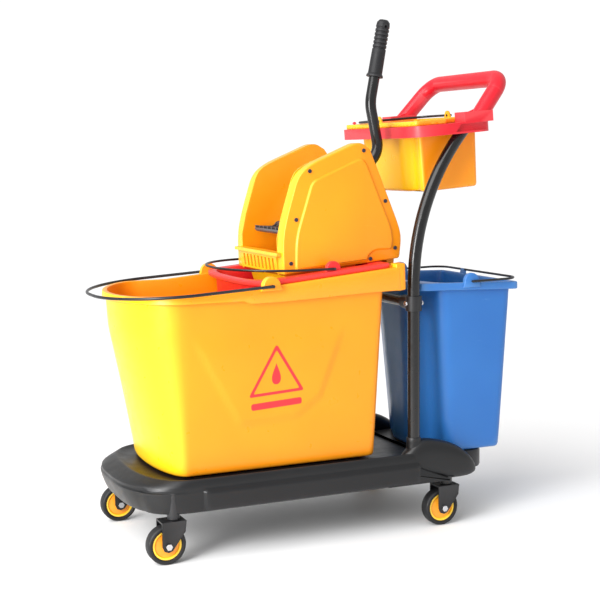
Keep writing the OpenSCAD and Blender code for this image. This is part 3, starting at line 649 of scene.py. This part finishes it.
def build_dirty_bucket():
    """The red inner bucket, whose flange lies along the main bucket's sloping rim."""
    count = 200
    centre = (-20, 0)
    floor_z, wall_z = 345, 500

    def ring(reach, half, power, rear, corner=10):
        return polar(cart_ring(-110, reach, half, power, rear, corner), centre, count)

    def over(z):
        return lambda x: rim_top(x) + z

    low, top = (20, 118, 2.4, 88), (33, 134, 2.4, 109)

    def wall(share, shrink):
        sizes = [a + (b - a) * share for a, b in zip(low, top)]
        return ring(sizes[0] - shrink, sizes[1] - shrink, sizes[2], sizes[3] - shrink)

    rings = [at_z(wall(0, 7), floor_z), at_z(wall(0, 2), 346.6), at_z(wall(0.02, 0), 350)]
    rings += [at_z(wall(k / 8, 0), floor_z + (wall_z - floor_z) * k / 8) for k in range(1, 8)]
    rings += [at_z(wall(1, 0), over(0.6))]
    rim = ring(44, 163, 2.6, 136, 6)
    rings += [at_z(inset(rim, 1), over(0.5)), at_z(rim, over(1.6)), at_z(rim, over(8.6)),
              at_z(inset(rim, 0.6), over(9.7)), at_z(inset(rim, 2), over(10.2)),
              at_z(wall(1, -2), over(10.2)), at_z(wall(1, 0.4), over(9.6)), at_z(wall(1, 2.4), over(6))]
    rings += [at_z(wall(k / 8, 3), floor_z + (wall_z - floor_z) * k / 8) for k in range(7, 0, -1)]
    rings += [at_z(wall(0.02, 4), 350.6), at_z(wall(0, 10), 348.6)]
    ears = [ear(15, 541, 15, 530, side * 146, side * 156, 1.8) for side in (-1, 1)]
    piece("dirty_bucket_shell", joined(loft(rings), *ears), MATERIALS["red_bucket"], "dirty_bucket",
          ["dirty_bucket"], sharp=45)


# ------------------------------------------------------------------ rear bucket

def build_rear_bucket():
    """The blue bucket, with its narrow shoulders towards the poles and a tab on the rim's rear."""
    centre = (330, 0)
    floor_z, height = 140, 370

    def rim_z(x):
        return 503 - (x - 150) / 35

    def body(share, shrink=0.0, corner=16):
        front, flat = 246 - 26 * share, 30 + 22 * share
        shoulder, half, back = 290 - 28 * share, 131 + 16 * share, 418 + 16 * share
        outline = [(front, flat, 14), (front, -flat, 14), (shoulder, -half, 20), (back, -half, 18),
                   (back, half, 18), (shoulder, half, 20)]
        return inset(polar(rounded(outline, corner, 8), centre, 200), shrink)

    rings = [at_z(body(0, 9), 140.4), at_z(body(0, 4), 141.4), at_z(body(0, 1.4), 144), at_z(body(0.01), 149)]
    rings += [at_z(body(k / 12), floor_z + height * k / 12) for k in range(1, 11)]
    rings.append(at_z(body(0.925), 482.6))
    rim = polar(rounded([(208, -155), (446, -155), (446, 155), (208, 155)], 13, 8), centre, 200)
    rings += [at_z(inset(rim, 2), lambda x: rim_z(x) - 15.5),
              at_z(inset(rim, 0.4), lambda x: rim_z(x) - 14.4),
              at_z(rim, lambda x: rim_z(x) - 12), at_z(inset(rim, 0.3), lambda x: rim_z(x) - 2),
              at_z(inset(rim, 1), lambda x: rim_z(x) - 0.6), at_z(inset(rim, 2.4), rim_z),
              at_z(body(1, 1), rim_z), at_z(body(1, 2.4), lambda x: rim_z(x) - 0.8),
              at_z(body(0.98, 3), lambda x: rim_z(x) - 4)]
    rings += [at_z(body(k / 12, 3), floor_z + height * k / 12) for k in range(11, 0, -1)]
    rings += [at_z(body(0.01, 4), 148), at_z(body(0, 9), 144.4)]
    ears = [ear(329, 501, 17, 488, side * 149, side * 158, 2) for side in (-1, 1)]
    tab = rounded([(436, 488), (445, 488), (445, 505), (439, 505)], 2, 4)
    tab = loft([[(p.x, y, p.y) for p in tab] for y in (56, 70)])
    piece("rear_bucket_shell", joined(loft(rings), *ears, tab), MATERIALS["blue_bucket"], "rear_bucket",
          ["rear_bucket"], sharp=45)


# ------------------------------------------------------------------ caddy

TRAY = Matrix.Translation((193, 0, 794)) @ Matrix.Rotation(math.radians(-4.5), 4, "Y")


def build_caddy():
    """The yellow caddy, drawn in the tray's own tilted frame."""
    centre = (90, 0)
    floor_z, height = -105, 127.5

    def body(taper, shrink=0.0):
        """Fluted corners at the front, plain ones at the rear."""
        half = []
        for x, y, r in ((21, 56, 8), (24, 68, 8), (34, 84, 16), (35, 100, 14), (27, 118, 10), (30, 127.5, 6),
                        (165, 127.5, 12)):
            half.append((x + (taper if x < 90 else -taper), y - taper, r))
        outline = [(x, -y, r) for x, y, r in half] + [(x, y, r) for x, y, r in reversed(half)]
        return inset(polar(rounded(outline, 10, 6), centre, 300), shrink)

    rim = polar(rounded([(4, -158, 10), (78, -158, 3), (84, -132, 3), (172, -132, 8), (172, 132, 8),
                         (84, 132, 3), (78, 158, 3), (4, 158, 10)], 6, 6), centre, 300)
    rings = [at_z(body(3, 7), -112), at_z(body(3, 3), -111), at_z(body(3, 1), -109),
             at_z(body(3), floor_z)]
    rings += [at_z(body(3 - 3 * k / 8), floor_z + height * k / 8) for k in range(1, 9)]
    rings += [at_z(inset(rim, 1.2), 22.4), at_z(rim, 23.6), at_z(rim, 30), at_z(inset(rim, 0.5), 31.2),
              at_z(inset(rim, 1.6), 31.9), at_z(body(0, 1.2), 31.9), at_z(body(0, 2.6), 31.2),
              at_z(body(0, 3), 29)]
    rings += [at_z(body(3 - 3 * k / 8, 3), floor_z + height * k / 8) for k in range(7, -1, -1)]
    rings += [at_z(body(3, 6), -108), at_z(body(3, 10), -109)]
    parts = [loft(rings)]
    for x in (6, 171):
        turns = [math.pi * k / 20 for k in range(21)]
        outline = [(10 * math.cos(a), 35.9 + 10 * math.sin(a)) for a in turns]
        outline += [(-14, 30), (14, 30)]
        parts.append(loft([[(x + dx, y, z) for y, z in outline] for dx in (0, 3)]))
    piece("caddy_shell", moved(joined(*parts), TRAY), MATERIALS["yellow_caddy"], "caddy",
          ["caddy"], sharp=45)


# ------------------------------------------------------------------ wringer housings

HOUSING = [(-77, 529.6, 5), (-79, 599, 30), (-70, 641, 30), (-45, 722, 22), (-18, 744, 24), (88, 788, 16),
           (112, 776, 14), (179, 617, 30), (184, 592, 20), (179, 552.6, 5)]
PANEL = [(-53, 536, 6), (-52, 601, 26), (-16, 712, 14), (92, 757, 14), (103, 748, 10), (160, 614, 18),
         (163, 588, 14), (160, 571, 7), (121, 571, 12), (106, 560, 10), (106, 549.5, 4)]


def build_housing(side, name):
    """One outer cover: a skirt, a flat border with the screws and a raised field."""
    centre = (52, 640)
    outline = polar(rounded(HOUSING, 10, 8), centre, 260)
    panel = polar(rounded(PANEL, 10, 8), centre, 260)

    def at_y(ring, y):
        return [(p.x, side * y, p.y) for p in ring]

    rings = [at_y(inset(outline, 3), 95.4), at_y(outline, 95.4), at_y(outline, 118.6),
             at_y(inset(outline, 0.5), 120.3), at_y(inset(outline, 1.7), 121.5),
             at_y(inset(outline, 3.4), 122),
             at_y(inset(panel, -1), 122), at_y(inset(panel, 0.2), 122.4), at_y(inset(panel, 2.4), 125.2),
             at_y(inset(panel, 3.6), 125.9), at_y(inset(panel, 5.4), 126.1)]
    inner = [at_y(inset(outline, 3), 119), at_y(inset(outline, 12), 119)]
    part = joined(loft(rings, (False, True)), loft([rings[0]] + inner, (False, True)))
    piece("wringer_housing_" + name, part, MATERIALS["yellow_wringer"], "wringer",
          ["wringer_cover_" + name], sharp=40)


# ------------------------------------------------------------------ the rest of the CAD nodes

BAIL_BEND_X = -0.15
BAIL_PULL_IN = 0.05


def keep(nodes, slot):
    """CAD nodes that keep their shape and take a procedural material."""
    for node in nodes:
        for material_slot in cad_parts[node].material_slots:
            material_slot.link = "DATA"
            material_slot.material = MATERIALS[slot]


def finish_cad_nodes():
    """Materials for the nodes that keep their shape, and rounded copies that stand for the others."""
    keep(["caster_stems"], "black_steel")
    keep(["dirty_bail", "rear_bail", "caddy_bail"], "wire")
    bail = softened("main_bail", "main_bail", MATERIALS["wire"], 0.2, 1)
    for vertex in bail.data.vertices:
        vertex.co.x += BAIL_PULL_IN * max(0, BAIL_BEND_X - vertex.co.x)
    keep(["pole_near", "pole_far", "cross_tube"], "pole_steel")
    keep(["lever_tube"], "lever_steel")
    keep(["gear_front", "gear_rear", "gear_lever", "shaft_front", "shaft_rear", "lever_shaft",
          "return_spring"], "gear_steel")
    keep(["shaft_bushes"], "dark_plastic")
    keep(["lever_grip"], "grip_rubber")
    for corner in CORNERS:
        low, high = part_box("hub_" + corner)
        material = hub_material(corner, (low + high) / 2)
        hub = softened("hub_" + corner, "wheel_" + corner, material, 0.8)
        hub.name = "hub_moulding_" + corner
        softened("tyre_" + corner, "wheel_" + corner, MATERIALS["tyre_rubber"], 1.2, 3, 20)
        softened("fork_" + corner, "swivel_" + corner, MATERIALS["black_steel"], 1.4, 3)
        softened("axle_" + corner, "swivel_" + corner, MATERIALS["bolt_zinc"], 0.6)
    softened("tee_collars", "frame", MATERIALS["black_plastic"], 1.2, 3)
    softened("collar_bolts", "frame", MATERIALS["bolt_zinc"], 0.8, 3)
    softened("tray_frame", "frame", MATERIALS["red_frame"], 2.2, 3)
    softened("tray_peg", "frame", MATERIALS["red_frame"], 0.3)
    softened("wringer_body", "wringer", MATERIALS["yellow_wringer"], 0.9, 2)
    softened("wing_front", "press_front", MATERIALS["dark_plastic"], 0.8)
    softened("wing_rear", "press_rear", MATERIALS["dark_plastic"], 0.8)
    for name in ("near", "far"):
        softened("cover_screws_" + name, "wringer", MATERIALS["screw_black"], 0.6)


# ------------------------------------------------------------------ floor, light and camera

def build_stage():
    """A pale floor and an even white surround, brighter to the camera than to the cart."""
    look = Look("floor")
    look.shader.inputs["Base Color"].default_value = (0.86, 0.86, 0.86, 1)
    look.shader.inputs["Roughness"].default_value = 0.6
    mesh = bpy.data.meshes.new("floor")
    half = 9
    corners = [(-half, -half, 0), (half, -half, 0), (half, half, 0), (-half, half, 0)]
    mesh.from_pydata(corners, [], [(0, 1, 2, 3)])
    floor = bpy.data.objects.new("floor", mesh)
    floor.data.materials.append(look.material)
    bpy.context.scene.collection.objects.link(floor)

    world = bpy.data.worlds.new("studio")
    world.use_nodes = True
    tree = world.node_tree
    background = tree.nodes["Background"]
    background.inputs["Color"].default_value = (1, 1, 1, 1)
    strength = tree.nodes.new("ShaderNodeMapRange")
    strength.inputs["To Min"].default_value = 0.74
    strength.inputs["To Max"].default_value = 1.05
    tree.links.new(tree.nodes.new("ShaderNodeLightPath").outputs["Is Camera Ray"], strength.inputs["Value"])
    tree.links.new(strength.outputs["Result"], background.inputs["Strength"])
    bpy.context.scene.world = world
    bpy.context.scene.view_settings.view_transform = "Standard"
    bpy.context.scene.view_settings.look = "None"


def add_lights():
    """A broad key from the front and above, and a soft box close to the nose."""
    data = bpy.data.lights.new("key", "SUN")
    data.energy = 2.9
    data.angle = math.radians(55)
    key = bpy.data.objects.new("key", data)
    key.rotation_euler = Vector((-0.72, -0.26, 0.64)).to_track_quat("Z", "Y").to_euler()
    bpy.context.scene.collection.objects.link(key)

    data = bpy.data.lights.new("near", "AREA")
    data.shape = "RECTANGLE"
    data.size, data.size_y = 0.5, 0.7
    data.energy = 19
    near = bpy.data.objects.new("near", data)
    near.location = (-1.35, -0.85, 0.75)
    aim = Vector((-0.3, -0.1, 0.35))
    near.rotation_euler = (aim - near.location).to_track_quat("-Z", "Y").to_euler()
    bpy.context.scene.collection.objects.link(near)


def add_camera():
    """The camera stands 2.63 m from the cart, 24 degrees round towards its nose and a little above it."""
    azimuth, elevation, roll = (math.radians(a) for a in (-24.0, 6.6, -0.59))
    target = Vector((0.011, 0, 0.464))
    distance = 2.629
    back = Vector((math.sin(azimuth) * math.cos(elevation), -math.cos(azimuth) * math.cos(elevation),
                   math.sin(elevation)))
    right = Vector((math.cos(azimuth), math.sin(azimuth), 0))
    up = back.cross(right)
    rolled_right = math.cos(roll) * right + math.sin(roll) * up
    rolled_up = -math.sin(roll) * right + math.cos(roll) * up
    data = bpy.data.cameras.new("camera")
    data.lens = 76.2
    data.sensor_width = 36
    camera = bpy.data.objects.new("camera", data)
    place = target + back * distance
    camera.matrix_world = Matrix((
        (rolled_right.x, rolled_up.x, back.x, place.x), (rolled_right.y, rolled_up.y, back.y, place.y),
        (rolled_right.z, rolled_up.z, back.z, place.z), (0, 0, 0, 1)))
    bpy.context.scene.collection.objects.link(camera)
    bpy.context.scene.camera = camera


add_camera()
build_stage()
add_lights()
build_base()
build_main_bucket()
build_print()
build_dirty_bucket()
build_rear_bucket()
build_caddy()
build_housing(-1, "near")
build_housing(1, "far")
finish_cad_nodes()
